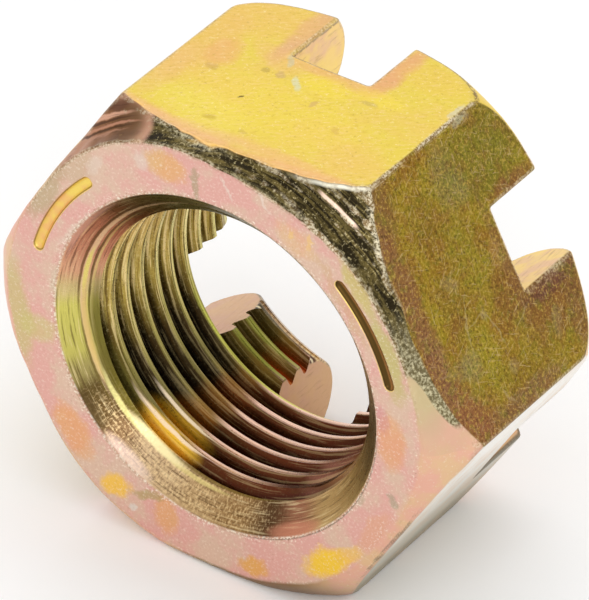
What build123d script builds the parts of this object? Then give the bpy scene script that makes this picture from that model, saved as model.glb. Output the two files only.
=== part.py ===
from build123d import *
import os
from math import sqrt

# Castle nut, 1-1/8 in - 12 thread: a hex nut whose far end is cut by six cotter slots.
# The nut lies on one flat. Its thread axis runs along Y, with the bearing face at the
# front (-Y) and the slotted end at the back (+Y). The origin is in the middle of the
# flat that it lies on. Millimetres.

# driving dimensions
across_flats = 42.2
height = 24.6
thread_minor_diameter = 26.75
slot_width = 7.7
slot_floor = 16.5             # bearing face to the floor of the slots
slot_corner_radius = 0.3
edge_radius = 0.4             # the six long edges, worn round

# bearing end
bearing_face_radius = 20.7
bearing_chamfer_depth = 4.5   # at the chamfer's largest radius
bearing_chamfer_bulge = 0.3
bearing_countersink_radius = 16.4

# slotted end: the teeth are rounded over between the countersink and the chamfer
crown_inner_radius = 15.75
crown_outer_radius = 20.9
crown_rise = 0.8              # of the crown's middle over its two rims
crown_chamfer_depth = 5.2     # at the chamfer's largest radius

# grade marks: two stamped lines on the bearing face, over two of the flats
mark_directions = (33, 150)   # degrees from +X towards +Z, seen from the front
mark_radius = 18.4
mark_span = 30                # degrees
mark_tool_radius = 0.5
mark_depth = 0.4

# worked out from them
hex_side = across_flats / sqrt(3)
chamfer_end_radius = hex_side + 0.15
bore_radius = thread_minor_diameter / 2
bearing_countersink_depth = bearing_countersink_radius - bore_radius
crown_rim = height - crown_rise
crown_countersink_depth = crown_inner_radius - bore_radius
flat_directions = (30, 90, 150)   # each slot cutter goes through two opposite flats


def hex_prism():
    """The wrench hexagon, with a flat at the top and the bottom and worn corners."""
    outline = RegularPolygon(hex_side, 6)
    outline = fillet(outline.vertices(), edge_radius)
    return extrude(Plane.XZ * outline, amount=-height)


def turned_ring():
    """The turned form: both chamfers outside, bore and countersinks inside.

    The half section is drawn with X as the radius and Y along the nut's axis."""
    bearing_corner = (chamfer_end_radius, bearing_chamfer_depth)
    crown_corner = (chamfer_end_radius, height - crown_chamfer_depth)
    bearing_chamfer = SagittaArc((bearing_face_radius, 0), bearing_corner, -bearing_chamfer_bulge)
    crown_middle = ((crown_inner_radius + crown_outer_radius) / 2, height)
    crown_outer_rim = (crown_outer_radius, crown_rim)
    crown = ThreePointArc((crown_inner_radius, crown_rim), crown_middle, crown_outer_rim)
    crown_chamfer = TangentArc(crown_outer_rim, crown_corner, tangent=crown % 1)
    inside = Polyline(
        (crown_inner_radius, crown_rim),
        (bore_radius, crown_rim - crown_countersink_depth),
        (bore_radius, bearing_countersink_depth),
        (bearing_countersink_radius, 0),
        (bearing_face_radius, 0),
    )
    outside = Line(bearing_corner, crown_corner)
    section = make_face(bearing_chamfer + outside + crown_chamfer + crown + inside)
    return revolve(section, Axis.Y)


def slot_cutter(direction):
    """A bar across the whole nut, whose underside is the floor of two opposite slots."""
    depth = height - slot_floor
    section = Pos(0, slot_floor + depth) * Rectangle(slot_width, 2 * depth)
    floor_corners = section.vertices().sort_by(Axis.Y)[:2]
    section = fillet(floor_corners, slot_corner_radius)
    bar = extrude(section, amount=across_flats, both=True)
    return bar.rotate(Axis.Y, 90 - direction)


def grade_mark(direction):
    """A round-bottomed line along an arc, with ball-shaped ends."""
    centre = Pos(mark_radius, mark_depth - mark_tool_radius, 0)
    line = revolve(centre * Circle(mark_tool_radius), Axis.Y, mark_span)
    ball = centre * Sphere(mark_tool_radius)
    mark = line + ball + ball.rotate(Axis.Y, mark_span)
    return mark.rotate(Axis.Y, -direction - mark_span / 2)


nut = turned_ring() & hex_prism()
for direction in flat_directions:
    nut -= slot_cutter(direction)
for direction in mark_directions:
    nut -= grade_mark(direction)
nut = Pos(0, -height / 2, across_flats / 2) * nut

os.makedirs("parts", exist_ok=True)
export_step(nut, "parts/castle_nut.step")
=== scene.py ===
"""The finished looks of a castle nut in yellow zinc plate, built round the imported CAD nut.

The nut is one forged, turned and slotted piece. Its mesh is taken from a field of distances
in millimetres, and its material is worked out from the place of each point on the nut.
"""
from math import cos, pi, radians, sin

import bmesh
import bpy
import numpy as np
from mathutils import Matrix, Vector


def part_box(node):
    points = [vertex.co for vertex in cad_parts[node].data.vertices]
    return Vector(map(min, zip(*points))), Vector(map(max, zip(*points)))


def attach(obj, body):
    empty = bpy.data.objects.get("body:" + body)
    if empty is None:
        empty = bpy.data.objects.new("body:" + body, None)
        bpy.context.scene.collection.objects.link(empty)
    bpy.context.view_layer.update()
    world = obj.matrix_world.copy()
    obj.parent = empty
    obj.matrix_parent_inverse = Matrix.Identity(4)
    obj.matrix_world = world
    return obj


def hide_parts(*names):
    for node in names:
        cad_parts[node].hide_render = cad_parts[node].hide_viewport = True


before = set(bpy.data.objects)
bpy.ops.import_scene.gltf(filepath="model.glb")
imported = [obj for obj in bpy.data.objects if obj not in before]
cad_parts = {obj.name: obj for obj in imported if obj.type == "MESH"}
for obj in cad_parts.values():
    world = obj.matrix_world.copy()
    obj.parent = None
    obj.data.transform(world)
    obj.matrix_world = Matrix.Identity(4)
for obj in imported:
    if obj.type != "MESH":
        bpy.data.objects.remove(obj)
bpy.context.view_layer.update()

import openvdb
from mathutils import Matrix, Vector

MM = 0.001

# ---------------------------------------------------------------- the nut's measures, in mm
# x runs across the nut, z up from its axis, and depth from the bearing face to the crown.
# Angles go from +x towards +z, seen from the bearing face.
LOW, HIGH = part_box("castle_nut")
ACROSS_FLATS = (HIGH.z - LOW.z) / MM
HEIGHT = (HIGH.y - LOW.y) / MM
HALF_FLATS = ACROSS_FLATS / 2
CORNER_WEAR = 0.26            # how wide the long corners are worn round

THREAD_PITCH = 25.4 / 12
CREST_RADIUS = 13.4
ROOT_RADIUS = 14.55
# the thread's section over one pitch: place along the pitch, share of the way to the root
THREAD_SECTION = (
    (-0.105, 0.04), (-0.08, 0.0), (0.08, 0.0), (0.105, 0.04),
    (0.19, 0.30), (0.265, 0.53), (0.345, 0.77),
    (0.42, 1.0), (0.5, 1.02), (0.58, 1.0),
    (0.655, 0.77), (0.735, 0.53), (0.81, 0.30),
)
THREAD_START = 14.05          # depth of one crest line at angle 0
# the drilled hole is a little large at the bearing end, most of all on this side
DRILLED_SIDE = 335            # degrees
DRILLED_SPREAD = 45           # degrees
DRILLED_DEPTH = 4.5
DRILLED_EXTRA = 0.75

SLOT_WIDTH = 7.7
SLOT_FLOOR = 16.1             # on the axis
SLOT_TILT = 0.4               # the floors lie this much deeper at the flats on this side:
DEEPER_SIDE = 75              # degrees
SLOT_ANGLES = (30, 90, 150)   # each bar cuts two opposite flats
COUNTERSINK_RADIUS = 16.4     # at the bearing face
INSIDE_RADIUS = 16.45         # faces nearer the axis have the inside's material

# the teeth are rounded over between the crown's countersink and its chamfer
CROWN_COUNTERSINK_RADIUS = 15.75
CROWN_CHAMFER_RADIUS = 20.9
CROWN_MIDDLE_RADIUS = 18.325
CROWN_ROUNDING = 4.54
CROWN_RIM = HEIGHT - 0.8
# how far the chamfer falls for each mm outwards: straight, squared and to the fifth power
CROWN_FALL = (0.62, 0.03, 0.0035)

# two stamped lines on the bearing face: angle of the middle, radius, tool radius
MARKS = ((33, 18.3, 0.5), (149.7, 18.8, 0.58))
MARK_HALF_SPAN = 15           # degrees
MARK_DEPTH = 0.4

# The chamfer at the bearing end is a gentle cone with a steeper, uneven step inside it, next
# to the bearing face. At each angle: the radius where the step leaves the face, how deep it
# would reach at the corners, how it curves (1 is straight, more is gentler at first), how
# deep the cone is at the corners, and how rough the hammered skin is.
CORNER_RADIUS = 24.3
BEARING_CHAMFER = {
    0: (20.55, 5.7, 1.9, 4.0, 0.25),
    12: (20.5, 7.0, 1.4, 4.0, 0.4),
    28: (20.45, 9.0, 1.0, 4.0, 0.6),
    40: (20.5, 9.0, 1.0, 4.0, 1.0),
    52: (20.75, 9.0, 1.0, 4.1, 1.0),
    62: (20.45, 9.0, 1.0, 4.1, 1.0),
    75: (20.05, 8.0, 1.0, 4.0, 1.0),
    90: (20.3, 8.0, 1.0, 3.8, 1.0),
    103: (21.1, 9.0, 0.9, 3.5, 0.9),
    120: (21.45, 9.0, 0.9, 3.35, 0.8),
    150: (20.9, 3.0, 1.2, 3.6, 0.3),
    180: (21.3, 3.6, 1.3, 4.0, 0.2),
    210: (20.65, 3.6, 1.5, 4.0, 0.2),
    240: (21.3, 3.4, 1.2, 4.0, 0.2),
    270: (20.5, 3.7, 1.5, 4.5, 0.2),
    300: (20.85, 4.0, 1.5, 5.0, 0.25),
    330: (19.7, 5.0, 2.0, 5.0, 0.25),
    348: (20.15, 5.5, 1.9, 4.4, 0.25),
}
CONE_AT_FLATS = 1.5

# ---------------------------------------------------------------- the grid for the field
STEP = 0.16
SKIN = 0.004                  # the looks lie this far inside the CAD nut
MARGIN = 4 * STEP
BODY_TRIANGLES = 150_000      # before the thread is cut
TAP_SIDES = 240
TAP_OVERRUN = 9.0             # how far the thread's cutter reaches past both ends of the nut
SHARP_ANGLE = 28              # degrees between faces over which an edge is shaded sharp
rng = np.random.default_rng(12)


def axis_points(lowest, highest):
    """The grid's places along one axis, in mm, with a margin round the nut."""
    count = int(np.ceil((highest - lowest + 2 * MARGIN) / STEP)) + 1
    return (lowest - MARGIN + STEP * np.arange(count)).astype(np.float32)


X_POINTS = axis_points(LOW.x / MM, HIGH.x / MM)
DEPTH_POINTS = axis_points(0, HEIGHT)
Z_POINTS = axis_points(-HALF_FLATS, HALF_FLATS)
x = X_POINTS[:, None, None]
depth = DEPTH_POINTS[None, :, None]
z = Z_POINTS[None, None, :]
radius = np.hypot(x, z)
angle = np.degrees(np.arctan2(z, x))
GRID_CORNER = np.array([X_POINTS[0], DEPTH_POINTS[0] - HEIGHT / 2, Z_POINTS[0] + HALF_FLATS])


def smooth_noise(cell):
    """Gentle random bumps about one cell across, over the whole grid, mostly from -1 to 1."""
    field = None
    for number, points in enumerate((X_POINTS, DEPTH_POINTS, Z_POINTS)):
        place = (points - points[0]) / cell
        first = np.floor(place).astype(int)
        t = place - first
        weights = np.zeros((len(points), first[-1] + 4), np.float32)
        rows = np.arange(len(points))
        for k, weight in enumerate((
            (1 - t) ** 3,
            3 * t ** 3 - 6 * t ** 2 + 4,
            -3 * t ** 3 + 3 * t ** 2 + 3 * t + 1,
            t ** 3,
        )):
            weights[rows, first + k] = weight / 6
        if field is None:
            sizes = [int((p[-1] - p[0]) / cell) + 4 for p in (X_POINTS, DEPTH_POINTS, Z_POINTS)]
            field = rng.uniform(-2.5, 2.5, sizes).astype(np.float32)
        field = np.moveaxis(np.tensordot(weights, field, (1, number)), 0, number)
    return field


def smooth_max(a, b, width):
    """The larger of two fields. The edge where they cross is worn round over this width."""
    overlap = np.maximum(width - np.abs(a - b), 0)
    return np.maximum(a, b) + overlap * overlap / (4 * width)


def away_from(centre):
    """Degrees between each point's angle and this one, from 0 to 180."""
    return np.abs((angle - centre + 180) % 360 - 180)


# ---------------------------------------------------------------- the nut's form
def hexagon():
    """How far a point is outside the wrench flats. The long corners are worn."""
    sides = [np.abs(x * cos(a) + z * sin(a)) - HALF_FLATS for a in map(radians, SLOT_ANGLES)]
    return smooth_max(smooth_max(sides[0], sides[1], CORNER_WEAR), sides[2], CORNER_WEAR)


def round_the_nut(column):
    """One column of the chamfer's table as a smooth curve round the nut, at each point."""
    degrees_round = np.arange(-30, 390)
    values = [row[column] for row in BEARING_CHAMFER.values()]
    curve = np.interp(degrees_round, list(BEARING_CHAMFER), values, period=360)
    smoothing = np.hanning(17)
    curve = np.convolve(curve, smoothing / smoothing.sum(), "same")[30:-30]
    return np.interp(angle, np.arange(360), curve, period=360).astype(np.float32)


def bearing_chamfer(hammered, ridges):
    """The uneven chamfer at the bearing end: the step and the cone."""
    start, step_depth, curve, cone_depth, rough = (round_the_nut(column) for column in range(5))
    out = (radius - start) / (CORNER_RADIUS - start)
    first = 0.05
    bent = np.maximum(out, first)
    surface = step_depth * bent ** curve * np.minimum(out / first, 1)
    slope = step_depth * curve * bent ** (curve - 1) / (CORNER_RADIUS - start)
    slope = np.minimum(slope, 4)
    inner = (surface - depth) / np.sqrt(1 + slope ** 2)

    out = (radius - HALF_FLATS) / (CORNER_RADIUS - HALF_FLATS)
    rise = cone_depth - CONE_AT_FLATS
    surface = CONE_AT_FLATS + rise * np.maximum(out, 0) ** 1.6 + np.minimum(out, 0)
    outer = (surface - depth) / np.sqrt(1 + 0.6 ** 2)
    return rough * (hammered + 0.07 * ridges) - smooth_max(-inner, -outer, 0.35)


def crown(ridges):
    """The slotted end: rounded teeth that run into a turned chamfer, steeper at the corners."""
    middle_depth = HEIGHT - CROWN_ROUNDING
    aside = radius - CROWN_MIDDLE_RADIUS
    most = CROWN_ROUNDING * 0.98
    rise = np.sqrt(CROWN_ROUNDING ** 2 - np.clip(aside, -most, most) ** 2)
    edge_aside = CROWN_CHAMFER_RADIUS - CROWN_MIDDLE_RADIUS
    edge_rise = np.sqrt(CROWN_ROUNDING ** 2 - edge_aside ** 2)
    out = np.maximum(radius - CROWN_CHAMFER_RADIUS, 0)
    straight, squared, fifth = CROWN_FALL
    fall = straight * out + squared * out ** 2 + fifth * out ** 5
    surface = middle_depth + np.where(out > 0, edge_rise - fall, rise)
    steepness = straight + 2 * squared * out + 5 * fifth * out ** 4
    slope = np.where(out > 0, steepness, aside / rise)
    slope = np.clip(slope, -3, 4)
    return (depth - surface) / np.sqrt(1 + slope ** 2) + 0.02 * ridges


def slots():
    """How deep each point is inside one of the three bars that cut the six slots."""
    cut = None
    side = radians(DEEPER_SIDE)
    floor = SLOT_FLOOR + SLOT_TILT / HALF_FLATS * (x * cos(side) + z * sin(side))
    for a in map(radians, SLOT_ANGLES):
        across = SLOT_WIDTH / 2 - np.abs(z * cos(a) - x * sin(a))
        bar = -smooth_max(-across, floor - depth, 0.3)
        cut = bar if cut is None else np.maximum(cut, bar)
    return cut


def marks():
    """How deep each point is inside the two stamped lines of the bearing face."""
    cut = None
    for centre, mark_radius, tool_radius in MARKS:
        past_end = np.radians(np.maximum(away_from(centre) - MARK_HALF_SPAN, 0)) * mark_radius
        aside = np.hypot(radius - mark_radius, past_end)
        line = tool_radius - np.hypot(aside, depth - MARK_DEPTH + tool_radius)
        cut = line if cut is None else np.maximum(cut, line)
    return cut


def nut_field():
    """Distances in mm to the nut's surface, positive outside it."""
    coarse = np.clip(smooth_noise(2.6), -1, 1)
    medium = np.clip(smooth_noise(0.9), -1, 1)
    fine = np.clip(smooth_noise(0.5), -1, 1)
    ridges = 1 + np.sin(2 * pi * radius / 0.8 + 1.5 * coarse) * (0.5 + 0.5 * coarse)
    hammered = 0.06 * medium + 0.05 * fine + 0.05
    dulled = 0.2 + 0.08 * (1 + medium) + 0.08 * (1 + coarse)

    body = hexagon() + SKIN
    body = smooth_max(body, bearing_chamfer(hammered, 0.5 * ridges), dulled)
    body = smooth_max(body, crown(0.5 * ridges), 0.2)
    body = smooth_max(body, SKIN - depth, 0.15)

    bore = CREST_RADIUS - 0.1 - radius
    countersinks = (
        COUNTERSINK_RADIUS - depth - radius,
        CROWN_COUNTERSINK_RADIUS - CROWN_RIM + depth - radius,
    )
    for cone in countersinks:
        bore = smooth_max(bore, cone / np.sqrt(2), 0.22)
    body = smooth_max(body, bore, 0.15)
    body = smooth_max(body, slots(), 0.2 + 0.06 * (1 + medium))
    return smooth_max(body, marks(), 0.08)


def field_at(field, places):
    """The field's value at places given in grid steps, by mixing the eight points around each."""
    corner = np.floor(places).astype(int)
    t = places - corner
    value = 0
    for offset in np.ndindex(2, 2, 2):
        weight = np.prod(np.where(offset, t, 1 - t), axis=1)
        value = value + weight * field[tuple((corner + offset).T)]
    return value


def nut_mesh(field):
    """The nut as one closed mesh, in metres, in the row's frame."""
    grid = openvdb.FloatGrid()
    grid.background = 3 * STEP
    grid.copyFromArray(field)
    points, quads = grid.convertToQuads(isovalue=0.0)
    mesh = bpy.data.meshes.new("castle_nut_looks")
    mesh.from_pydata((points * STEP + GRID_CORNER) * MM, [], quads.tolist())
    mesh.validate()
    return mesh


def thread_radius(section_share, degrees, at_depth):
    """The thread's radius, or the drilled hole's where that is larger."""
    wall = CREST_RADIUS + (ROOT_RADIUS - CREST_RADIUS) * section_share
    aside = np.abs((degrees - DRILLED_SIDE + 180) % 360 - 180)
    fading = np.maximum(at_depth, 0) / DRILLED_DEPTH + (aside / DRILLED_SPREAD) ** 2
    return smooth_max(wall, CREST_RADIUS + DRILLED_EXTRA * np.exp(-fading), 0.08)


def tap_mesh():
    """A closed solid whose skin is the thread. Its rows of vertices run along the helix."""
    first_turn, last_turn = -8, 7
    places, shares = np.array(THREAD_SECTION).T
    per_turn = len(places)
    along = np.concatenate([turn + places for turn in range(first_turn, last_turn + 1)])
    share = np.tile(shares, last_turn + 1 - first_turn)[None, :]
    degrees = (np.arange(TAP_SIDES + 1) * 360 / TAP_SIDES)[:, None]
    at_depth = THREAD_START + THREAD_PITCH * (along[None, :] - degrees / 360)
    out = thread_radius(share, degrees, at_depth)
    a = np.radians(degrees)
    points = np.stack([out * np.cos(a), at_depth, out * np.sin(a)], axis=-1).reshape(-1, 3)

    # the last row of points is the first one again, a turn further on
    rows = len(along)
    numbers = np.arange((TAP_SIDES + 1) * rows).reshape(TAP_SIDES + 1, rows)
    numbers[-1, per_turn:] = numbers[0, :-per_turn]
    corners = (numbers[:-1, :-1], numbers[1:, :-1], numbers[1:, 1:], numbers[:-1, 1:])
    faces = np.stack(corners, axis=-1).reshape(-1, 4).tolist()
    near_rim = list(numbers[:, 0]) + list(numbers[-1, 1:per_turn + 1])
    far_rim = list(numbers[:, -1]) + list(numbers[0, rows - per_turn:])
    for rim, end in ((near_rim, -TAP_OVERRUN), (far_rim, HEIGHT + TAP_OVERRUN)):
        points = np.vstack([points, (0, end, 0)])
        faces += [(len(points) - 1, int(m), int(n)) for m, n in zip(rim, rim[1:])]

    mesh = bpy.data.meshes.new("tap")
    mesh.from_pydata((points + (0, -HEIGHT / 2, HALF_FLATS)) * MM, [], faces)
    tidy = bmesh.new()
    tidy.from_mesh(mesh)
    bmesh.ops.delete(tidy, geom=[v for v in tidy.verts if not v.link_faces], context="VERTS")
    bmesh.ops.recalc_face_normals(tidy, faces=tidy.faces)
    tidy.to_mesh(mesh)
    tidy.free()
    return mesh


def apply_modifiers(piece):
    """Applies the piece's modifiers to its mesh."""
    graph = bpy.context.evaluated_depsgraph_get()
    mesh = bpy.data.meshes.new_from_object(piece.evaluated_get(graph))
    piece.modifiers.clear()
    piece.data = mesh


def thin_out(piece):
    """Fewer triangles where the mesh is flat."""
    thin = piece.modifiers.new("thin", "DECIMATE")
    thin.ratio = BODY_TRIANGLES / (2 * len(piece.data.polygons))
    thin.use_collapse_triangulate = True
    apply_modifiers(piece)


def cut_thread(piece):
    """Cuts the turns of the thread into the bore."""
    tap = bpy.data.objects.new("tap", tap_mesh())
    bpy.context.scene.collection.objects.link(tap)
    cut = piece.modifiers.new("thread", "BOOLEAN")
    cut.operation = "DIFFERENCE"
    cut.solver = "MANIFOLD"
    cut.object = tap
    piece.modifiers.new("triangles", "TRIANGULATE")
    apply_modifiers(piece)
    bpy.data.objects.remove(tap)


def add_shading(mesh, field):
    """Normals, from the field outside the thread, and how worn each point is: 1 on sharp edges."""
    mesh.shade_smooth()
    mesh.set_sharp_from_angle(angle=radians(SHARP_ANGLE))
    places = np.empty(3 * len(mesh.vertices), np.float32)
    mesh.vertices.foreach_get("co", places)
    places = places.reshape(-1, 3) / MM - GRID_CORNER
    across, _, up = (places + GRID_CORNER - (0, 0, HALF_FLATS)).T
    threaded = np.hypot(across, up) < ROOT_RADIUS + 0.1
    places = np.clip(places / STEP, 3, np.array(field.shape) - 5)
    slopes = np.empty_like(places)
    around = 0
    for axis in range(3):
        # both in grid steps: near for the slope, far for how sharp the edge is
        near, far = np.zeros((2, 3))
        near[axis], far[axis] = 0.8, 1.6
        slopes[:, axis] = field_at(field, places + near) - field_at(field, places - near)
        around = around + field_at(field, places + far) + field_at(field, places - far)
    slopes /= np.maximum(np.linalg.norm(slopes, axis=1), 1e-6)[:, None]

    corners = np.empty(len(mesh.loops), np.int32)
    mesh.loops.foreach_get("vertex_index", corners)
    own = np.empty(3 * len(corners), np.float32)
    mesh.corner_normals.foreach_get("vector", own)
    own = own.reshape(-1, 3)
    faces = np.repeat(np.arange(len(mesh.polygons)), 3)
    in_thread = threaded[corners].reshape(-1, 3).all(axis=1)[faces]
    agree = np.einsum("ij,ij->i", own, slopes[corners]) > 0.8
    use_field = agree & ~in_thread
    normals = np.where(use_field[:, None], slopes[corners], own)
    mesh.normals_split_custom_set(normals)

    worn = mesh.attributes.new("worn", "FLOAT", "POINT")
    around = np.where(threaded, 0, around / (6 * 0.15 * STEP))
    worn.data.foreach_set("value", np.clip(around, -1, 1).astype(np.float32))


def mark_inside(mesh):
    """Gives the second material to the faces of the countersinks and the bore."""
    for face in mesh.polygons:
        reach = (face.center.x ** 2 + (face.center.z - HALF_FLATS * MM) ** 2) ** 0.5
        face.material_index = int(reach < INSIDE_RADIUS * MM)


def build_nut():
    """The nut's mesh, without its materials, tied to the CAD nut."""
    field = np.clip(nut_field(), -3 * STEP, 3 * STEP).astype(np.float32)
    piece = bpy.data.objects.new("castle_nut_body", nut_mesh(field))
    bpy.context.scene.collection.objects.link(piece)
    thin_out(piece)
    cut_thread(piece)
    add_shading(piece.data, field)
    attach(piece, "root")
    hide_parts("castle_nut")
    return piece


# ---------------------------------------------------------------- the studio, in metres
NUT_MIDDLE = Vector((0, 0, HALF_FLATS * MM))
FLOOR_HALF_SIZE = 3.0
FLOOR_SHADE = 0.75            # how light the floor and the sky are in the light they give;
SKY_SHADE = 0.93              # the camera and reflections see both white
# each lamp: name, place, size and power in watts
LAMPS = (
    ("lamp_above", (-0.3, 0.2, 0.9), 0.6, 1.0),
    ("lamp_front", (0.55, -0.73, 0.41), 0.25, 1.5),
)
AIM_DEPTH = 12.05             # mm from the bearing face
CAMERA_AIM = Vector((0, AIM_DEPTH * MM - HEIGHT / 2 * MM, HALF_FLATS * MM))
CAMERA_AZIMUTH = 33.25        # degrees, from the front towards the right
CAMERA_ELEVATION = 35.75      # degrees
CAMERA_ROLL = 1.84            # degrees
CAMERA_DISTANCE = 0.6435
CAMERA_LENS = 455.7           # mm, on a sensor 36 mm wide


def white_where_seen(tree, shade):
    """A node that is white to the camera and in reflections, and this grey elsewhere."""
    rays = tree.nodes.new("ShaderNodeLightPath").outputs
    seen = rays["Is Camera Ray"]
    for kind in ("Is Glossy Ray", "Is Transmission Ray"):
        either = tree.nodes.new("ShaderNodeMath")
        either.operation = "MAXIMUM"
        tree.links.new(seen, either.inputs[0])
        tree.links.new(rays[kind], either.inputs[1])
        seen = either.outputs[0]
    colour = tree.nodes.new("ShaderNodeMix")
    colour.data_type = "RGBA"
    colour.inputs[6].default_value = (shade, shade, shade, 1)
    colour.inputs[7].default_value = (1, 1, 1, 1)
    tree.links.new(seen, colour.inputs[0])
    return colour.outputs[2]


def build_floor():
    """A pale floor, which keeps the nut's shadow."""
    size = FLOOR_HALF_SIZE
    mesh = bpy.data.meshes.new("floor")
    corners = [(-size, -size, 0), (size, -size, 0), (size, size, 0), (-size, size, 0)]
    mesh.from_pydata(corners, [], [(0, 1, 2, 3)])
    floor = bpy.data.objects.new("floor", mesh)
    bpy.context.scene.collection.objects.link(floor)
    material = bpy.data.materials.new("floor_white")
    material.use_nodes = True
    shader = material.node_tree.nodes["Principled BSDF"]
    shader.inputs["Roughness"].default_value = 0.9
    shader.inputs["Specular IOR Level"].default_value = 0.0
    colour = white_where_seen(material.node_tree, FLOOR_SHADE)
    material.node_tree.links.new(colour, shader.inputs["Base Color"])
    mesh.materials.append(material)


def build_world():
    """Soft light from all round, and a white background."""
    world = bpy.data.worlds.new("studio")
    world.use_nodes = True
    background = world.node_tree.nodes["Background"]
    background.inputs["Strength"].default_value = 1.0
    colour = white_where_seen(world.node_tree, SKY_SHADE)
    world.node_tree.links.new(colour, background.inputs["Color"])
    bpy.context.scene.world = world


def build_lamp(name, place, size, power):
    """A square soft box that points at the nut."""
    lamp = bpy.data.lights.new(name, "AREA")
    lamp.size = size
    lamp.energy = power
    holder = bpy.data.objects.new(name, lamp)
    holder.location = place
    holder.rotation_euler = (NUT_MIDDLE - Vector(place)).to_track_quat("-Z", "Y").to_euler()
    bpy.context.scene.collection.objects.link(holder)


def build_camera():
    """Looks down on the bearing face from the right, through a long lens."""
    azimuth, elevation, roll = map(radians, (CAMERA_AZIMUTH, CAMERA_ELEVATION, CAMERA_ROLL))
    back = Vector((sin(azimuth) * cos(elevation), -cos(azimuth) * cos(elevation), sin(elevation)))
    camera = bpy.data.objects.new("camera", bpy.data.cameras.new("camera"))
    camera.data.lens = CAMERA_LENS
    camera.data.sensor_width = 36
    turned = back.to_track_quat("Z", "Y").to_matrix().to_4x4() @ Matrix.Rotation(roll, 4, "Z")
    camera.matrix_world = Matrix.Translation(CAMERA_AIM + back * CAMERA_DISTANCE) @ turned
    bpy.context.scene.collection.objects.link(camera)
    bpy.context.scene.camera = camera


# ---------------------------------------------------------------- nodes for the material
class Value:
    """A node's output. Sums and products with it make math nodes."""

    def __init__(self, socket):
        self.socket = socket

    def __add__(self, other):
        return calculate("ADD", self, other)

    def __sub__(self, other):
        return calculate("SUBTRACT", self, other)

    def __rsub__(self, other):
        return calculate("SUBTRACT", other, self)

    def __mul__(self, other):
        return calculate("MULTIPLY", self, other)

    def __truediv__(self, other):
        return calculate("DIVIDE", self, other)

    def __abs__(self):
        return calculate("ABSOLUTE", self)

    __radd__ = __add__
    __rmul__ = __mul__


def node(kind, inputs, output=0, **settings):
    """Adds a node, sets it up and joins its inputs, which are given by number."""
    new = tree.nodes.new("ShaderNode" + kind)
    for name, setting in settings.items():
        setattr(new, name, setting)
    for number, value in inputs.items():
        if isinstance(value, Value):
            tree.links.new(value.socket, new.inputs[number])
        else:
            new.inputs[number].default_value = value
    return Value(new.outputs[output])


def calculate(operation, *values):
    """A math node that works on these values."""
    return node("Math", dict(enumerate(values)), operation=operation)


def step(value, low, high, most=1.0):
    """0 below low and `most` above high, or the other way round where low is the larger."""
    return node("MapRange", {0: value, 1: low, 2: high, 4: most}, interpolation_type="SMOOTHSTEP")


def mix(share, first, second):
    """The first colour, with this share of the second. A mix node has colours at 6 and 7."""
    return node("Mix", {0: share, 6: first, 7: second}, output=2, data_type="RGBA")


def rgb(*values):
    """A linear colour from the usual 0 to 255 values."""
    linear = (((v / 255 + 0.055) / 1.055) ** 2.4 if v > 10 else v / 3295 for v in values)
    return (*linear, 1)


def vector(first, second, third=0.0):
    """A place or direction from its three parts."""
    return node("CombineXYZ", {0: first, 1: second, 2: third})


def parts(place):
    """The three parts of a vector."""
    split = tree.nodes.new("ShaderNodeSeparateXYZ")
    tree.links.new(place.socket, split.inputs[0])
    return [Value(output) for output in split.outputs]


def noise(size, detail=2.0, rough=0.5):
    """Smooth random values round 0.5, with bumps about `size` mm across."""
    return node("TexNoise", {0: OBJECT_PLACE, 2: 0.6 / size / MM, 3: detail, 4: rough})


def streaks(along, across, length, width, detail=2.0, seed=0.0):
    """Noise drawn out into streaks of this length and width in mm."""
    place = vector(along * (1 / length), across * (1 / width), seed)
    return node("TexNoise", {0: place, 2: 0.6, 3: detail, 4: 0.6})


def by_angle(stops):
    """A colour that changes round the nut's axis, from its values at 0 and other angles."""
    new = tree.nodes.new("ShaderNodeValToRGB")
    tree.links.new(TURN.socket, new.inputs[0])
    new.color_ramp.interpolation = "EASE"
    points = new.color_ramp.elements
    points[0].color = points[1].color = rgb(*stops[0])
    for degrees in sorted(stops)[1:]:
        point = points.new(degrees / 360)
        point.color = rgb(*stops[degrees])
    return Value(new.outputs[0])


def spots(colour, across, up, patches, softness=0.5, warp=1.0):
    """Lays soft patches over a colour. Each has its middle, its half length and half width,
    its turn in degrees, its strength and its own colour."""
    place = vector(across + WARP_ACROSS * warp, up + WARP_UP * warp, 1.0)
    for middle_across, middle_up, length, width, turn, strength, own in patches:
        c, s = cos(radians(turn)), sin(radians(turn))
        lengthways = (c / length, s / length, -(c * middle_across + s * middle_up) / length)
        sideways = (-s / width, c / width, (s * middle_across - c * middle_up) / width)
        a = node("VectorMath", {0: place, 1: lengthways}, output=1, operation="DOT_PRODUCT")
        b = node("VectorMath", {0: place, 1: sideways}, output=1, operation="DOT_PRODUCT")
        out = calculate("MULTIPLY_ADD", a, a, b * b)
        share = step(out, (1 + softness) ** 2, (1 - softness) ** 2, strength)
        colour = mix(share, colour, rgb(*own))
    return colour


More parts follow.
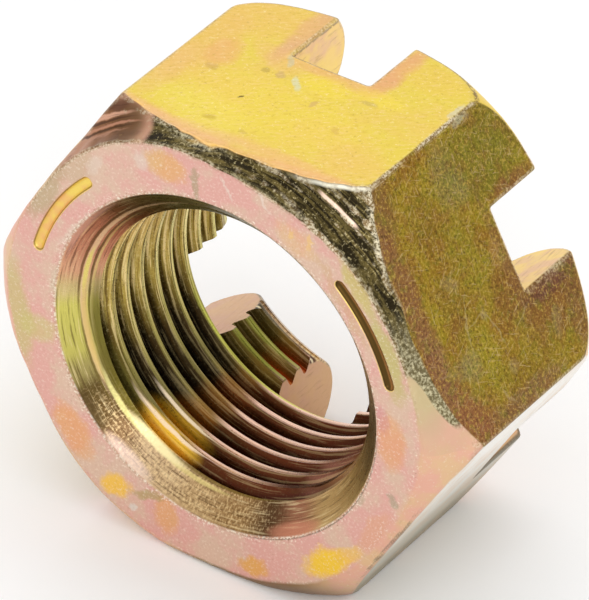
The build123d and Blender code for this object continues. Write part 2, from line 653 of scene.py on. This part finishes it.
# ---------------------------------------------------------------- colours, where they lie
# Places on the bearing face are x and z from the axis. Places on a flat are the distance
# from its middle line, and the depth from the bearing face.
FACE_PATCHES = (
    (-5.2, 18.3, 1.9, 1.1, 0, 0.6, (230, 178, 95)),
    (-9.8, -16.5, 1.5, 1.0, 25, 0.9, (246, 198, 74)),
    (-14.3, -12.6, 2.4, 1.4, -50, 0.7, (232, 168, 105)),
    (12.0, -15.2, 2.4, 1.1, 35, 1.0, (246, 204, 66)),
    (14.2, -13.4, 1.6, 0.8, 45, 0.7, (242, 196, 88)),
    (4.6, -19.0, 1.4, 0.8, 10, 0.8, (232, 172, 76)),
    (-4.6, -17.6, 1.2, 1.7, 0, 0.6, (232, 172, 95)),
    (-6.6, -16.4, 1.5, 0.5, 10, 0.6, (172, 160, 86)),
    (7.8, 16.6, 2.0, 1.0, -25, 0.35, (232, 186, 118)),
    (17.9, 0.0, 1.3, 2.4, 0, 0.6, (232, 166, 108)),
    (16.6, -10.0, 1.0, 2.4, -30, 0.4, (228, 170, 122)),
    (-20.4, -3.0, 1.5, 5.0, 8, 0.75, (205, 190, 128)),
    (-18.2, -3.6, 1.8, 1.3, 0, 0.5, (205, 196, 118)),
    (-17.6, 10.6, 1.1, 3.2, -32, 0.55, (178, 162, 118)),
    (-14.6, 14.8, 1.4, 2.4, -45, 0.35, (190, 168, 128)),
    (14.0, 14.2, 2.4, 0.8, -52, 0.85, (206, 190, 118)),
    (17.1, 8.8, 3.4, 0.85, -63, 0.9, (200, 188, 122)),
    (17.9, 5.6, 1.3, 0.7, -65, 0.6, (206, 186, 130)),
    (12.5, 12.2, 4.2, 0.5, -53, 0.4, (208, 168, 120)),
    (-2.2, 17.6, 0.35, 1.5, 5, 0.6, (168, 158, 120)),
    (-8.0, 17.8, 0.9, 0.6, -30, 0.6, (226, 205, 190)),
    (-12.4, 15.6, 0.5, 1.2, -40, 0.5, (228, 208, 192)),
    (4.3, 18.9, 1.0, 0.18, -50, 0.7, (232, 212, 198)),
    (0.8, 18.6, 0.8, 0.16, -60, 0.6, (232, 212, 198)),
    (7.4, 16.9, 0.2, 0.5, 0, 0.7, (236, 196, 128)),
    (9.2, 16.9, 0.2, 0.5, 0, 0.7, (236, 196, 128)),
    (-7.9, -18.0, 0.4, 0.35, 0, 0.8, (224, 214, 204)),
    (-14.3, 8.0, 2.4, 0.4, 55, 0.6, (226, 206, 186)),
    (-16.4, 2.4, 1.6, 0.4, 75, 0.5, (216, 198, 170)),
    (18.1, -6.0, 0.45, 0.8, 20, 0.6, (168, 160, 132)),
    (15.1, -7.0, 0.35, 0.6, 0, 0.5, (190, 180, 150)),
    (17.0, 2.0, 0.6, 1.2, 10, 0.5, (214, 150, 148)),
)
YELLOW_PATCHES = (
    (4.8, 20.0, 0.9, 4.6, 0, 0.8, (222, 168, 132)),
    (9.0, 20.5, 4.5, 3.0, 0, 0.55, (234, 190, 105)),
    (10.8, 13.0, 2.2, 5.0, 0, 0.5, (234, 184, 110)),
    (8.8, 13.4, 1.4, 1.8, 0, 0.5, (234, 172, 118)),
    (-4.7, 19.6, 0.9, 3.8, 0, 0.8, (228, 164, 122)),
    (-1.0, 15.8, 4.2, 0.7, 0, 0.7, (232, 180, 116)),
    (4.6, 15.4, 2.4, 1.2, 20, 0.4, (234, 184, 120)),
    (-8.0, 20.4, 3.0, 1.8, 0, 0.4, (234, 196, 92)),
    (-9.0, 6.0, 2.6, 2.4, 0, 0.4, (236, 188, 112)),
    (-6.0, 3.2, 5.6, 0.8, 4, 0.55, (236, 182, 126)),
    (5.0, 2.6, 5.0, 0.8, -5, 0.65, (234, 184, 134)),
    (11.2, 9.0, 1.2, 4.0, 0, 0.45, (234, 186, 122)),
    (5.4, 5.4, 4.0, 2.2, 10, 0.45, (238, 220, 96)),
    (-1.2, 14.2, 2.2, 1.2, 0, 0.5, (242, 218, 64)),
    (-5.8, 15.2, 2.0, 0.9, 0, 0.5, (242, 218, 72)),
    (0.0, 9.0, 7.0, 3.6, 0, 0.3, (242, 214, 80)),
    (1.25, 13.2, 0.9, 0.28, 55, 0.9, (218, 214, 168)),
    (3.45, 15.6, 0.7, 0.3, 65, 0.7, (206, 196, 160)),
    (3.0, 13.5, 0.5, 0.3, 20, 0.6, (196, 160, 108)),
    (4.4, 13.2, 0.25, 0.3, 0, 0.6, (186, 158, 76)),
    (8.4, 11.1, 0.55, 0.4, 0, 0.5, (200, 160, 96)),
    (4.5, 4.9, 0.55, 0.38, 0, 0.6, (200, 170, 66)),
    (-1.9, 11.4, 0.25, 0.6, 20, 0.6, (208, 168, 110)),
    (-5.3, 14.3, 0.7, 0.25, 0, 0.5, (190, 166, 96)),
    (-5.4, 9.4, 0.5, 0.25, 30, 0.4, (206, 164, 84)),
    (0.5, 4.6, 0.4, 0.2, 0, 0.5, (200, 172, 60)),
    (4.0, 8.8, 0.16, 0.22, 0, 0.9, (112, 92, 22)),
    (-11.9, 17.6, 0.25, 1.0, 0, 0.7, (214, 206, 180)),
)
# Patches on the flat next to the top one. Its olive is partly the plating's hue and partly painted
# shade.
OLIVE_PATCHES = (
    (8.2, 18.0, 3.0, 5.0, 0, 0.7, (116, 114, 24)),
    (-9.4, 14.0, 1.6, 5.0, 0, 0.7, (136, 112, 18)),
    (7.0, 8.4, 2.2, 1.6, 0, 0.6, (124, 98, 14)),
    (-1.5, 7.5, 3.0, 1.4, 0, 0.5, (122, 92, 22)),
    (-6.8, 8.6, 2.8, 1.6, 0, 0.6, (150, 138, 26)),
    (2.2, 11.4, 4.0, 1.8, 0, 0.5, (140, 128, 24)),
    (-4.6, 18.2, 3.4, 5.0, 20, 0.75, (124, 78, 36)),
    (-4.7, 20.0, 0.8, 3.6, 0, 0.85, (106, 62, 50)),
    (4.6, 20.2, 0.7, 2.6, 0, 0.7, (134, 82, 48)),
    (0.0, 15.6, 5.0, 0.5, 0, 0.6, (130, 92, 50)),
    (0.4, 15.0, 1.2, 0.9, 0, 0.4, (176, 138, 76)),
    (-11.2, 11.0, 0.9, 5.0, 0, 0.7, (128, 94, 62)),
    (-9.6, 4.4, 3.0, 1.8, -20, 0.85, (142, 86, 56)),
    (-4.0, 2.9, 3.2, 1.3, 5, 0.75, (136, 88, 66)),
    (11.7, 17.2, 0.3, 1.0, 0, 0.7, (190, 184, 150)),
    (9.6, 4.2, 2.6, 1.4, 20, 0.7, (120, 82, 46)),
    (3.0, 3.0, 6.5, 1.2, 0, 0.75, (134, 88, 56)),
    (-8.2, 21.2, 3.2, 1.0, 15, 0.6, (122, 82, 46)),
    (8.8, 12.6, 2.4, 1.4, 10, 0.3, (126, 122, 84)),
    (7.0, 14.2, 1.3, 0.9, 20, 0.3, (142, 136, 88)),
    (-6.0, 6.8, 1.1, 1.0, 0, 0.45, (142, 138, 88)),
    (-5.6, 5.4, 0.8, 1.0, 0, 0.4, (142, 134, 84)),
    (-7.9, 18.4, 1.1, 0.5, 15, 0.4, (146, 132, 88)),
    (-8.3, 11.4, 0.5, 0.4, 0, 0.6, (160, 142, 84)),
    (1.0, 8.1, 0.5, 0.8, 25, 0.45, (146, 128, 82)),
    (-3.3, 10.5, 0.4, 0.35, 0, 0.5, (158, 140, 96)),
    (-3.0, 8.3, 2.1, 0.10, 18, 0.8, (172, 150, 92)),
    (-4.7, 11.0, 1.5, 0.09, -12, 0.7, (170, 148, 92)),
    (-3.1, 9.5, 0.09, 1.1, -12, 0.6, (168, 146, 92)),
    (-5.3, 15.2, 0.8, 0.12, 60, 0.6, (168, 142, 96)),
    (-5.2, 3.6, 0.12, 1.0, 18, 0.6, (168, 134, 96)),
    (-10.2, 9.4, 0.9, 0.10, -35, 0.6, (170, 146, 100)),
)

# Places on the chamfer are degrees round the axis and the radius. Places in the countersink
# and on the thread are degrees and the depth.
CHAMFER_PATCHES = (
    (127, 22.4, 14, 2.0, 0, 1.0, (142, 98, 66)),
    (118, 22.3, 4, 1.2, 0, 0.6, (84, 60, 34)),
    (134, 21.7, 5, 1.0, 0, 0.8, (196, 146, 118)),
    (125, 22.9, 7, 0.16, 0, 0.9, (220, 168, 140)),
    (126, 22.55, 8, 0.09, 0, 0.8, (78, 48, 32)),
    (124, 22.2, 8, 0.10, 0, 0.8, (196, 140, 112)),
    (126, 21.95, 8, 0.08, 0, 0.8, (72, 46, 28)),
    (127, 21.72, 7, 0.07, 0, 0.7, (186, 136, 108)),
    (121, 23.5, 3, 0.35, 0, 0.7, (96, 58, 42)),
    (18, 21.3, 12, 1.0, 0, 0.7, (192, 180, 136)),
    (5, 22.2, 6, 1.2, 0, 0.5, (214, 176, 146)),
)
CONE_PATCHES = (
    (145, 1.46, 34, 0.10, 0, 0.8, (100, 68, 26)),
    (158, 1.74, 44, 0.15, 0, 0.9, (238, 200, 156)),
    (168, 1.76, 9, 0.13, 0, 0.8, (238, 224, 116)),
    (192, 1.84, 16, 0.18, 0, 0.8, (222, 190, 118)),
    (202, 1.58, 16, 0.07, 0, 0.7, (100, 82, 32)),
    (160, 2.12, 34, 0.07, 0, 0.8, (96, 78, 28)),
    (168, 2.30, 30, 0.07, 0, 0.6, (226, 206, 128)),
    (206, 2.55, 30, 0.42, 0, 0.85, (96, 86, 26)),
    (222, 1.98, 12, 0.15, 0, 0.7, (226, 216, 142)),
    (258, 2.02, 12, 0.13, 0, 0.6, (228, 208, 132)),
    (272, 2.80, 22, 0.36, 0, 0.85, (128, 62, 28)),
    (268, 2.38, 24, 0.12, 0, 0.7, (106, 86, 22)),
    # painted highlight: pale and gold where the countersink runs into the thread
    (240, 2.16, 11, 0.26, 0, 0.9, (250, 234, 176)),
    (241, 2.76, 10, 0.26, 0, 0.9, (244, 186, 56)),
    (318, 2.46, 20, 0.09, 0, 0.8, (244, 210, 166)),
    (322, 2.18, 16, 0.06, 0, 0.6, (220, 184, 132)),
    (310, 2.80, 22, 0.10, 0, 0.7, (116, 70, 40)),
    # a painted highlight near the rim at 237 degrees, and painted shade beside it at 219
    (237, 0.25, 8, 0.45, 0, 0.6, (236, 208, 194)),
    (219, 0.20, 6, 0.40, 0, 0.8, (76, 58, 28)),
    (146, 0.30, 14, 0.20, 0, 0.5, (226, 176, 156)),
    (302, 0.40, 9, 0.50, 0, 0.6, (212, 138, 108)),
)
THREAD_PATCHES = (
    # painted highlight: a gold band with pale crest lines at 238 to 245 degrees, from 3.45 mm
    # deep, fading to brown deeper in the bore
    (240, 3.45, 12, 0.60, 0, 0.9, (255, 200, 60)),
    (214, 3.50, 12, 0.60, 0, 0.7, (112, 102, 40)),
    (238, 3.85, 15, 0.10, 0, 0.9, (255, 228, 194)),
    (243, 4.25, 8, 0.08, 0, 0.8, (240, 196, 116)),
    (241, 5.30, 12, 0.60, 0, 0.85, (238, 186, 48)),
    (239, 6.05, 13, 0.10, 0, 0.9, (255, 232, 198)),
    (241, 7.40, 8, 0.70, 0, 0.6, (168, 106, 28)),
    (243, 9.80, 7, 1.50, 0, 0.5, (128, 80, 28)),
    (245, 12.4, 7, 1.50, 0, 0.4, (134, 68, 28)),
    (306, 6.6, 8, 2.80, 0, 0.5, (170, 112, 92)),
    (250, 14.85, 42, 0.20, 0, 0.9, (206, 206, 92)),
    (238, 17.9, 17, 2.90, 0, 0.6, (112, 96, 34)),
    (238, 16.85, 18, 0.20, 0, 0.8, (138, 142, 52)),
    (238, 18.95, 18, 0.20, 0, 0.8, (138, 142, 52)),
    (249, 17.6, 8, 0.42, 0, 0.85, (222, 112, 48)),
    (249, 19.7, 8, 0.44, 0, 0.85, (222, 104, 46)),
    (239, 21.1, 18, 0.16, 0, 0.9, (236, 218, 178)),
)

# Colours round the axis, by degrees: the countersinks, then the thread's crests, flanks and
# roots, then the wrench flats, of which the top one and the next to the right have their own
# The countersink is painted darker from 213 to 222 degrees as painted shade, and paler from 240 to
# 262 as a painted highlight.
CONE_COLOURS = {
    0: (125, 108, 60), 60: (150, 132, 75), 112: (100, 92, 32), 122: (112, 86, 34),
    132: (124, 74, 32), 145: (188, 120, 88), 158: (202, 136, 106), 168: (224, 168, 132),
    176: (212, 190, 130), 183: (212, 204, 104), 198: (196, 186, 96), 206: (156, 142, 84),
    213: (86, 68, 30), 222: (92, 70, 36), 229: (136, 104, 70), 240: (196, 166, 128),
    250: (198, 166, 124), 262: (184, 150, 104), 278: (158, 122, 76), 291: (82, 53, 27),
    303: (150, 98, 70), 316: (182, 148, 92), 335: (176, 148, 90),
}
# The crests are painted lighter than the flanks and roots, as painted highlights on their edges.
CREST_COLOURS = {
    0: (150, 122, 78), 90: (250, 230, 170), 140: (255, 236, 176), 170: (246, 234, 150),
    205: (168, 156, 84), 228: (124, 114, 62), 243: (150, 120, 60), 256: (246, 202, 180),
    290: (250, 210, 190), 312: (224, 172, 137), 335: (180, 142, 100),
}
# The flanks are painted darker than the crests as painted shade, darkest from 212 to 243 degrees.
FLANK_COLOURS = {
    0: (110, 80, 42), 90: (188, 158, 78), 120: (212, 177, 105), 150: (214, 179, 107),
    185: (184, 158, 76), 200: (112, 94, 36), 212: (54, 40, 12), 235: (46, 33, 9),
    243: (112, 72, 22), 252: (82, 40, 12), 280: (92, 38, 14), 305: (84, 38, 18),
    325: (142, 94, 52), 345: (120, 84, 46),
}
# The roots are painted darkest, as painted shade deep in the groove, nearly black from 210 to 232
# degrees.
ROOT_COLOURS = {
    0: (90, 62, 32), 90: (144, 130, 62), 150: (168, 146, 84), 185: (142, 126, 58),
    200: (62, 52, 20), 210: (24, 17, 6), 232: (24, 16, 6), 245: (82, 46, 12),
    262: (74, 26, 6), 300: (62, 20, 8), 325: (104, 66, 34), 345: (92, 62, 30),
}
# The flat at 330 degrees faces down towards the floor: from 318 round to 350 degrees it is painted
# pale grey, a painted reflection of the floor, and darker towards 303.
FLAT_COLOURS = {
    0: (246, 244, 238), 5: (190, 160, 86), 60: (190, 160, 86), 120: (222, 186, 96),
    150: (214, 176, 88), 180: (200, 166, 80), 210: (176, 146, 62), 240: (190, 152, 72),
    270: (206, 164, 84), 303: (146, 138, 114), 318: (192, 188, 174), 334: (230, 228, 220),
    350: (246, 244, 238),
}


# ---------------------------------------------------------------- the nut's material
def face_colour(mottle):
    """The bearing face: pink and tan, with orange patches, pale scuffs and a frosted rim."""
    colour = mix(step(mottle, 0.4, 0.64), rgb(226, 173, 161), rgb(222, 190, 167))
    colour = spots(colour, X, Z, FACE_PATCHES, 0.4, 1.5)
    frosted = step(RADIUS, 17.2, 16.5, 0.7) + step(DEPTH, 0.02, 0.06, 0.5) + 0.4
    colour = mix(step(FROST, 0.52, 0.68) * frosted, colour, rgb(248, 236, 220))
    return mix(step(FROST, 0.42, 0.28) * frosted * 0.8, colour, rgb(172, 128, 102))


def flat_colour(mottle):
    """The wrench flats. The top one is yellow and the next one olive, partly the plating's hue and
    partly painted shade. The flat at 330 degrees is pale grey, a painted reflection of the floor.
    """
    others = mix(step(mottle, 0.40, 0.70) * 0.35, by_angle(FLAT_COLOURS), rgb(222, 178, 130))
    others = mix(step(FROST, 0.56, 0.72) * 0.35, others, rgb(248, 228, 176))
    others = mix(step(FROST, 0.44, 0.30) * 0.25, others, rgb(150, 116, 56))

    top = mix(step(mottle, 0.38, 0.66) * 0.5, rgb(230, 206, 82), rgb(234, 196, 104))
    top = mix(step(DEPTH - abs(X) * 0.12, 2.8, 2.0) * 0.6, top, rgb(234, 176, 128))
    top = spots(top, X * -1, DEPTH, YELLOW_PATCHES)
    lines = streaks(X * 0.78 + DEPTH * 0.62, DEPTH * 0.78 - X * 0.62, 0.55, 0.16, 4.0)
    top = mix(step(lines, 0.52, 0.66) * 0.35, top, rgb(244, 210, 150))
    top = mix(step(lines, 0.46, 0.32) * 0.35, top, rgb(212, 176, 56))
    top = mix(step(FROST, 0.58, 0.72) * 0.5, top, rgb(250, 238, 190))
    top = mix(step(FROST, 0.42, 0.28) * 0.5, top, rgb(184, 148, 58))

    across = X * -0.5 + Z * 0.866
    # the flat next to the top one: olive, partly the plating's hue and partly painted shade
    side = mix(step(mottle, 0.36, 0.66), rgb(140, 102, 18), rgb(152, 130, 20))
    side = spots(side, across, DEPTH, OLIVE_PATCHES, 0.6)
    blotches = noise(0.8, 4.0, 0.7)
    side = mix(step(blotches, 0.50, 0.62) * 0.35, side, rgb(136, 84, 40))
    side = mix(step(blotches, 0.48, 0.38) * 0.4, side, rgb(124, 122, 26))
    side = mix(step(FROST, 0.52, 0.66) * 0.55, side, rgb(206, 172, 78))
    side = mix(step(FROST, 0.47, 0.34) * 0.7, side, rgb(76, 50, 8))
    for turn, seed in ((68, 1.0), (14, 2.0), (118, 3.0)):
        c, s = cos(radians(turn)), sin(radians(turn))
        first = across + WARP_ACROSS * 0.4
        second = DEPTH + WARP_UP * 0.4
        hairs = streaks(first * c + second * s, second * c - first * s, 0.9, 0.10, 3.0, seed)
        side = mix(step(hairs, 0.59, 0.72) * 0.45, side, rgb(210, 178, 124))

    colour = mix(on_flat(90), others, top)
    return mix(on_flat(30), colour, side)


def beyond_flat(degrees):
    """Distance outside a wrench flat's plane, negative inside."""
    a = radians(degrees)
    return X * cos(a) + Z * sin(a) - HALF_FLATS


def on_flat(degrees):
    """1 on this wrench flat and 0 on the others."""
    return step(beyond_flat(degrees), -0.22, -0.10)


def chamfer_colour(mottle):
    """The bearing chamfer: blackened with pale flecks round the top right, pink elsewhere, with
    painted shade along the bottom.
    """
    plain = mix(step(mottle, 0.4, 0.62), rgb(230, 176, 154), rgb(226, 188, 146))
    plain = mix(step(FROST, 0.55, 0.72) * 0.5, plain, rgb(240, 224, 196))
    # painted shade: darker brown round 283 degrees, along the underside
    plain = mix(step(angle_from(283), 28, 10) * 0.85, plain, rgb(122, 94, 56))
    plain = spots(plain, DEGREES, RADIUS, CHAMFER_PATCHES, 0.5, 0.35)
    turned = streaks(AROUND, RADIUS, 1.1, 0.12, 5.0)
    dark = mix(step(turned, 0.42, 0.60), rgb(40, 32, 12), rgb(106, 92, 50))
    dark = mix(step(FROST, 0.46, 0.32) * 0.8, dark, rgb(28, 22, 8))
    dark = mix(step(FROST, 0.56, 0.68) * 0.8, dark, rgb(198, 182, 134))
    grey = mix(step(FROST, 0.40, 0.64), rgb(120, 108, 74), rgb(212, 202, 164))
    dark = mix(step(angle_from(6), 32, 16) * 0.8, dark, grey)
    edge = step(FROST, 0.38, 0.60)
    dark = mix(edge * step(DEPTH, 0.50, 0.10) * 0.6, dark, rgb(150, 140, 108))
    top = beyond_flat(90)
    left_rim = edge * step(top, -0.45, -0.12) * step(X, 1.0, -3.0) * 0.8
    right_rim = step(top, -0.36, -0.16) * step(X, 5.0, 10.0)
    side_rim = edge * step(beyond_flat(30), -0.45, -0.12) * step(Z, 13.5, 17.5) * 0.9
    dark = mix(left_rim, dark, rgb(196, 186, 154))
    dark = mix(right_rim, dark, rgb(255, 250, 228))
    dark = mix(side_rim, dark, rgb(240, 228, 196))
    dark = mix(step(top, -0.14, -0.04) * 0.8, dark, rgb(92, 70, 34))
    colour = mix(step(BLACKENED, 0.35, 0.65), plain, dark)
    ridge = step(abs(RADIUS - 22.2), 0.16, 0.06) * step(angle_from(61.5), 6.5, 4.0)
    colour = mix(ridge, colour, rgb(255, 222, 200))
    lines = step(turned, 0.46, 0.30) * step(angle_from(126), 14, 8)
    return mix(lines * 0.5, colour, rgb(70, 42, 28))


def bore_colour():
    """The countersink and the thread, turned bright and coloured by the plating, with painted
    highlights on the crests and painted shade in the flanks and roots.
    """
    cone = by_angle(CONE_COLOURS)
    rings = streaks(AROUND, RADIUS, 2.4, 0.09, 4.0)
    cone = mix(step(rings, 0.53, 0.66) * 0.4, cone, rgb(246, 222, 170))
    cone = mix(step(rings, 0.47, 0.34) * 0.6, cone, rgb(74, 50, 20))
    ticks = streaks(AROUND, RADIUS, 0.12, 0.16, 3.0, 5.0)
    shaken = step(angle_from(254), 48, 26) * step(RADIUS, 16.5, 15.9)
    cone = mix(step(ticks, 0.50, 0.64) * shaken * 0.45, cone, rgb(248, 216, 160))
    cone = mix(step(ticks, 0.50, 0.32) * shaken * 0.55, cone, rgb(82, 54, 24))
    cone = spots(cone, DEGREES, DEPTH, CONE_PATCHES, 0.5, 0.12)

    height = (RADIUS - CREST_RADIUS) / (ROOT_RADIUS - CREST_RADIUS)
    # painted shade in the flanks and roots, painted highlights on the crests
    wall = mix(step(height, 0.25, 0.85), by_angle(FLANK_COLOURS), by_angle(ROOT_COLOURS))
    wall = mix(step(height, 0.12, 0.02), wall, by_angle(CREST_COLOURS))
    wall = spots(wall, DEGREES, DEPTH, THREAD_PATCHES, 0.5, 0.12)
    fine = streaks(AROUND, DEPTH + DEGREES * (THREAD_PITCH / 360), 5.0, 0.10, 3.0)
    left = step(angle_from(135), 85, 45)
    wall = mix(step(fine, 0.51, 0.60) * (left * 0.60 + 0.16), wall, rgb(252, 226, 160))
    wall = mix(step(fine, 0.49, 0.38) * (left * 0.50 + 0.25), wall, rgb(84, 58, 16))
    wall = mix(step(FROST, 0.54, 0.70) * (left * 0.30 + 0.05), wall, rgb(240, 222, 160))
    wall = mix(step(FROST, 0.46, 0.30) * (left * 0.30 + 0.10), wall, rgb(54, 36, 12))
    on_cone = step(calculate("MINIMUM", DEPTH, HEIGHT - DEPTH), 3.0, 2.85)
    return mix(on_cone, wall, cone)


def mark_colour():
    """The stamped lines: yellow on the left, dark with a brown side on the right."""
    left = mix(step(noise(1.4), 0.42, 0.58), rgb(242, 212, 104), rgb(240, 188, 116))
    left = mix(step(DEPTH, 0.24, 0.12) * 0.8, left, rgb(120, 92, 30))
    right = mix(step(RADIUS, 18.15, 18.45), rgb(84, 62, 22), rgb(176, 122, 64))
    right = mix(step(DEPTH, 0.20, 0.10), right, rgb(58, 42, 14))
    return mix(step(X, -1.0, 1.0), left, right)


def slot_colour(mottle):
    """The slots' walls and the crown, turned and sawn to a yellow and pink."""
    colour = mix(step(mottle, 0.4, 0.6), rgb(246, 212, 134), rgb(238, 196, 150))
    colour = mix(step(noise(2.6), 0.46, 0.58) * 0.6, colour, rgb(255, 224, 118))
    colour = mix(step(Z, 0.0, -4.0) * 0.75, colour, rgb(206, 160, 134))
    grain = streaks(X + Z, DEPTH, 0.25, 1.6, 3.0)
    colour = mix(step(grain, 0.46, 0.30) * 0.4, colour, rgb(176, 128, 84))
    colour = mix(step(angle_from(57), 13, 8) * step(RADIUS, 20.6, 21.2), colour, rgb(240, 208, 84))
    burred = step(abs(beyond_flat(90) + 0.15), 0.35, 0.12) * step(FROST, 0.40, 0.52)
    return mix(burred * 0.8, colour, rgb(112, 84, 46))


def angle_from(degrees):
    """Degrees between this direction and each point's, from 0 to 180."""
    return abs(calculate("WRAP", TURN * 360 - degrees, 180.0, -180.0))


def marked(colour):
    """The stamped lines over a colour."""
    near = step(RADIUS, 17.2, 17.5) * step(RADIUS, 19.8, 19.5) * step(NORMAL_Y, 0.2, 0.0)
    inside = near * step(DEPTH, 0.05, 0.14) * step(DEPTH, 0.8, 0.6)
    return mix(inside, colour, mark_colour()), near


def outside_finish():
    """The colour, roughness and bumps of everything outside the bore."""
    mottle = noise(2.2, 4.0, 0.6)
    fine = noise(0.16, 3.0, 0.6)
    on_face = step(DEPTH, 0.10, 0.03) * step(NORMAL_Y, -0.8, -0.93)
    on_side = step(FLATNESS, -0.30, -0.12) * step(abs(NORMAL_Y), 0.35, 0.2)
    on_chamfer = step(DEPTH, 7.5, 7.0) * step(NORMAL_Y, -0.03, -0.15) * step(RADIUS, 19.0, 19.4)

    colour = slot_colour(mottle)
    colour = mix(on_chamfer, colour, chamfer_colour(mottle))
    colour = mix(on_side, colour, flat_colour(mottle))
    colour = mix(on_face, colour, face_colour(mottle))
    colour, near_marks = marked(colour)

    # worn edges: fine grey and pale specks where the plating is bruised, and a painted shade line
    # along the edges at the lower right
    edge = step(WORN, 0.35, 0.8) * step(near_marks, 0.6, 0.1)
    speck_colour = mix(step(FROST, 0.42, 0.58), rgb(142, 116, 76), rgb(228, 214, 184))
    bruised = step(angle_from(60), 7, 4) * 0.5 + 0.45
    colour = mix(edge * step(mottle, 0.25, 0.60) * bruised, colour, speck_colour)
    # painted shade: a dark line along the edges round 320 degrees
    colour = mix(edge * step(angle_from(320), 42, 32) * 0.7, colour, rgb(92, 80, 60))

    hammered = on_chamfer * step(BLACKENED, 0.2, 0.6)
    dents = noise(1.3, 2.0)
    beads = noise(0.25, 3.0, 0.7)
    height = dents * 0.012 + fine * 0.004 + hammered * beads * 0.05 + edge * beads * 0.03
    rough = 0.40 + (fine - 0.5) * 0.25 + on_face * 0.08 + hammered * 0.05
    return colour, rough, height


def inside_finish():
    """The colour, roughness and bumps of the countersinks, the thread and the teeth's insides."""
    mottle = noise(2.2, 4.0, 0.6)
    fine = noise(0.16, 3.0, 0.6)
    outward = (NORMAL_X * X + NORMAL_Z * Z) / RADIUS
    in_bore = step(outward, -0.25, -0.5)
    colour = mix(in_bore, slot_colour(mottle), bore_colour())
    at_rim = step(DEPTH, 0.16, 0.04)
    rim = mix(step(FROST, 0.42, 0.62), rgb(206, 160, 136), rgb(240, 226, 206))
    colour = mix(at_rim, colour, rim)

    grooves = streaks(AROUND, RADIUS + DEPTH, 6.0, 0.14, 3.0)
    starting = step(DEPTH, 1.6, 2.2) * step(DEPTH, 3.4, 3.0)
    height = noise(1.3, 2.0) * 0.012 + fine * 0.004 + in_bore * grooves * (starting * 0.05 + 0.014)
    shaken = step(angle_from(240), 60, 40) * step(RADIUS, 13.6, 14.0) * step(DEPTH, 3.2, 2.8)
    rough = 0.40 + (fine - 0.5) * 0.25 - in_bore * 0.10 + shaken * 0.10
    height = height + shaken * fine * 0.02
    return colour, rough, height


AROUND_RADIUS = 15            # mm; lengths round the axis are measured at this radius
nut = build_nut()
nut.data.materials.clear()
for name, finish in (("zinc_outside", outside_finish), ("zinc_inside", inside_finish)):
    zinc = bpy.data.materials.new(name)
    zinc.use_nodes = True
    tree = zinc.node_tree
    nut.data.materials.append(zinc)

    # places on the nut, in mm from its axis and from its bearing face
    OBJECT_PLACE = node("TexCoord", {}, output=3)
    X, back, up = (value * (1 / MM) for value in parts(OBJECT_PLACE))
    DEPTH = back + HEIGHT / 2
    Z = up - HALF_FLATS
    RADIUS = calculate("SQRT", X * X + Z * Z)
    TURN = calculate("WRAP", calculate("ARCTAN2", Z, X) / (2 * pi), 1.0, 0.0)
    DEGREES = TURN * 360
    AROUND = TURN * (2 * pi * AROUND_RADIUS)
    FLATNESS = None
    for a in map(radians, SLOT_ANGLES):
        outside = abs(X * cos(a) + Z * sin(a)) - HALF_FLATS
        FLATNESS = outside if FLATNESS is None else calculate("MAXIMUM", FLATNESS, outside)
    WORN = node("Attribute", {}, output=2, attribute_name="worn")
    NORMAL_X, NORMAL_Y, NORMAL_Z = parts(node("TexCoord", {}, output=1))
    FROST = noise(0.16, 3.0, 0.7)
    WARP_ACROSS = (noise(1.9, 4.0, 0.7) - 0.5) * 1.8
    WARP_UP = (noise(2.3, 4.0, 0.7) - 0.5) * 1.8
    # the part of the chamfer that is blackened: most of the upper right, and an edge below it
    blackened_edge = step(beyond_flat(30), -0.8, -0.3) * step(angle_from(20), 20, 8)
    BLACKENED = step(angle_from(66), 50, 40) + blackened_edge
    BLACKENED = BLACKENED * step(RADIUS, 19.5, 20.5) * step(DEPTH, 9.0, 6.0)

    colour, rough, height = finish()
    shader = tree.nodes["Principled BSDF"]
    shader.inputs["Metallic"].default_value = 0.85
    tree.links.new(colour.socket, shader.inputs["Base Color"])
    tree.links.new(rough.socket, shader.inputs["Roughness"])
    bump = node("Bump", {0: 1.0, 1: MM, 3: height})
    tree.links.new(bump.socket, shader.inputs["Normal"])

mark_inside(nut.data)

build_floor()
for lamp in LAMPS:
    build_lamp(*lamp)
build_camera()
build_world()
bpy.context.scene.view_settings.view_transform = "Standard"
